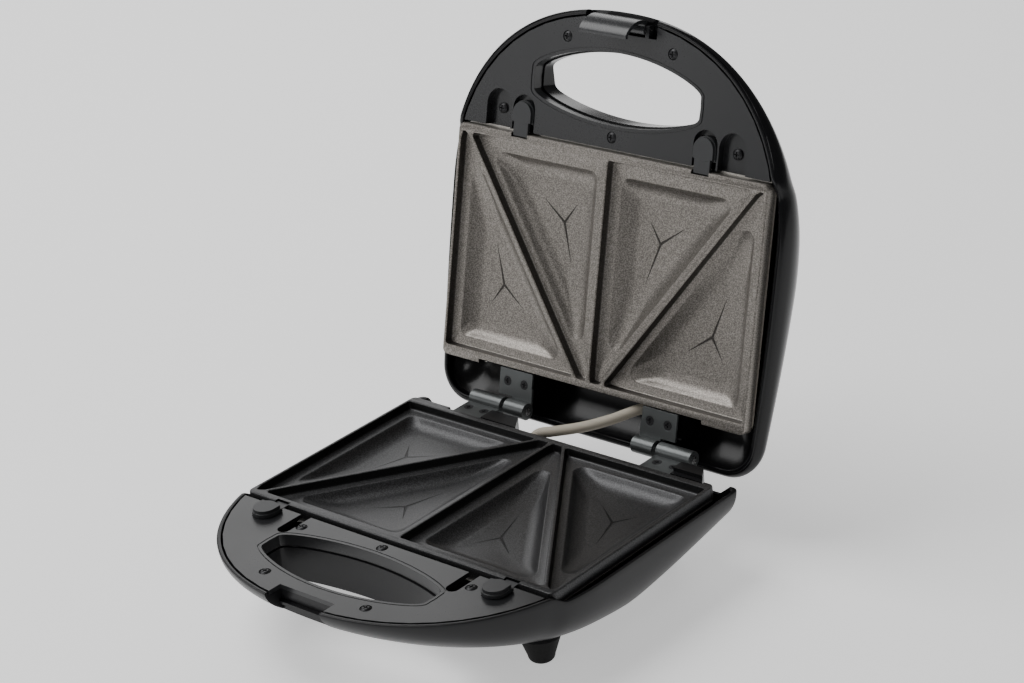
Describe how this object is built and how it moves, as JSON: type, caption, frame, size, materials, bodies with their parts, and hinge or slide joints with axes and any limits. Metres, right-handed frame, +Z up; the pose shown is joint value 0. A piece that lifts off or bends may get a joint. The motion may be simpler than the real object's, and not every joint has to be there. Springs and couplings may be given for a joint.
{
  "type": "sandwich toaster",
  "caption": "Tabletop sandwich toaster with a hinged lid, ribbed plates for triangular halves, a carrying hole through both handles and a sprung latch hook.",
  "frame": {"origin": "on the worktop, below the middle of the open toaster", "axes": "+X to the user's right, +Y to the hinge at the back, +Z up"},
  "size_m": [0.226, 0.2909, 0.2636],
  "materials": {
    "base_plastic": "satin black",
    "lid_plastic": "gloss black",
    "panel_plastic": "satin dark grey",
    "non_stick": "dark grey non-stick coating on cast aluminium",
    "non_stick_lid": "grey non-stick coating on cast aluminium",
    "tray_steel": "bright aluminised steel",
    "element_sheath": "heat-darkened steel sheath",
    "spring_steel": "bright wire",
    "bright_steel": "zinc plated",
    "gunmetal": "satin gunmetal",
    "black_screw": "satin black",
    "clip_plastic": "satin grey",
    "hook_plastic": "satin dark grey",
    "foot_rubber": "matte black",
    "gland_rubber": "matte black",
    "ceramic": "glazed white ceramic",
    "sleeve_braid": "woven glass-fibre sleeve",
    "red_lens": "clear red",
    "green_lens": "clear green",
    "lamp_glass": "clear glass"
  },
  "bodies": {
    "base": {"base_shell": "base_plastic", "base_handle_panel": "panel_plastic", "base_heat_tray": "tray_steel", "lower_heating_element": "element_sheath", "base_element_saddles": "spring_steel", "lower_plate": "non_stick", "front_feet": "foot_rubber", "rear_feet": "foot_rubber", "base_panel_screws": "black_screw", "base_tray_screws": "bright_steel", "base_hinge_leaf_left": "gunmetal", "base_hinge_leaf_right": "gunmetal", "base_leaf_screws": "black_screw", "hinge_pin_left": "bright_steel", "hinge_pin_right": "bright_steel", "mains_gland": "gland_rubber", "terminal_block": "ceramic", "base_clip_springs": "spring_steel", "lead_sleeve": "sleeve_braid"},
    "lid": {"lid_cover": "lid_plastic", "lid_handle_panel": "panel_plastic", "lid_heat_tray": "tray_steel", "upper_heating_element": "element_sheath", "lid_element_saddles": "spring_steel", "upper_plate": "non_stick_lid", "lid_panel_screws": "black_screw", "lid_tray_screws": "bright_steel", "lid_hinge_leaf_left": "gunmetal", "lid_hinge_leaf_right": "gunmetal", "lid_leaf_screws": "black_screw", "thermostat": "ceramic", "thermal_fuse": "ceramic", "fuse_clip": "spring_steel", "power_lamp": "lamp_glass", "ready_lamp": "lamp_glass", "power_lens": "red_lens", "ready_lens": "green_lens", "latch_pin": "bright_steel", "latch_spring": "spring_steel", "lid_clip_springs": "spring_steel"},
    "latch": {"latch_hook": "hook_plastic"},
    "base_catch_left": {"base_clip_left": "clip_plastic"},
    "base_catch_right": {"base_clip_right": "clip_plastic"},
    "lid_catch_left": {"lid_clip_left": "clip_plastic"},
    "lid_catch_right": {"lid_clip_right": "clip_plastic"}
  },
  "joints": [
    {"name": "lid_hinge", "type": "hinge", "parent": "base", "child": "lid", "pos_m": [0, 0.076, 0.0493], "axis": [1, 0, 0], "range_deg": [0, 104.65], "deforming": ["lead_sleeve"]},
    {"name": "latch_pivot", "type": "hinge", "parent": "lid", "child": "latch", "pos_m": [0, 0.13663, 0.25671], "axis": [-1, 0, 0], "range_deg": [0, 14], "stiffness_Nm_per_rad": 0.05, "springref_deg": -17.19, "deforming": ["latch_spring"]},
    {"name": "base_catch_left_slide", "type": "slide", "parent": "base", "child": "base_catch_left", "axis": [0, -1, 0], "range_m": [0, 0.0025], "stiffness_N_per_m": 500, "springref_m": -0.002, "deforming": ["base_clip_springs"]},
    {"name": "base_catch_right_slide", "type": "slide", "parent": "base", "child": "base_catch_right", "axis": [0, -1, 0], "range_m": [0, 0.0025], "stiffness_N_per_m": 500, "springref_m": -0.002, "deforming": ["base_clip_springs"]},
    {"name": "lid_catch_left_slide", "type": "slide", "parent": "lid", "child": "lid_catch_left", "axis": [0, 0.2529, 0.9675], "range_m": [0, 0.0025], "stiffness_N_per_m": 500, "springref_m": -0.002, "deforming": ["lid_clip_springs"]},
    {"name": "lid_catch_right_slide", "type": "slide", "parent": "lid", "child": "lid_catch_right", "axis": [0, 0.2529, 0.9675], "range_m": [0, 0.0025], "stiffness_N_per_m": 500, "springref_m": -0.002, "deforming": ["lid_clip_springs"]}
  ]
}
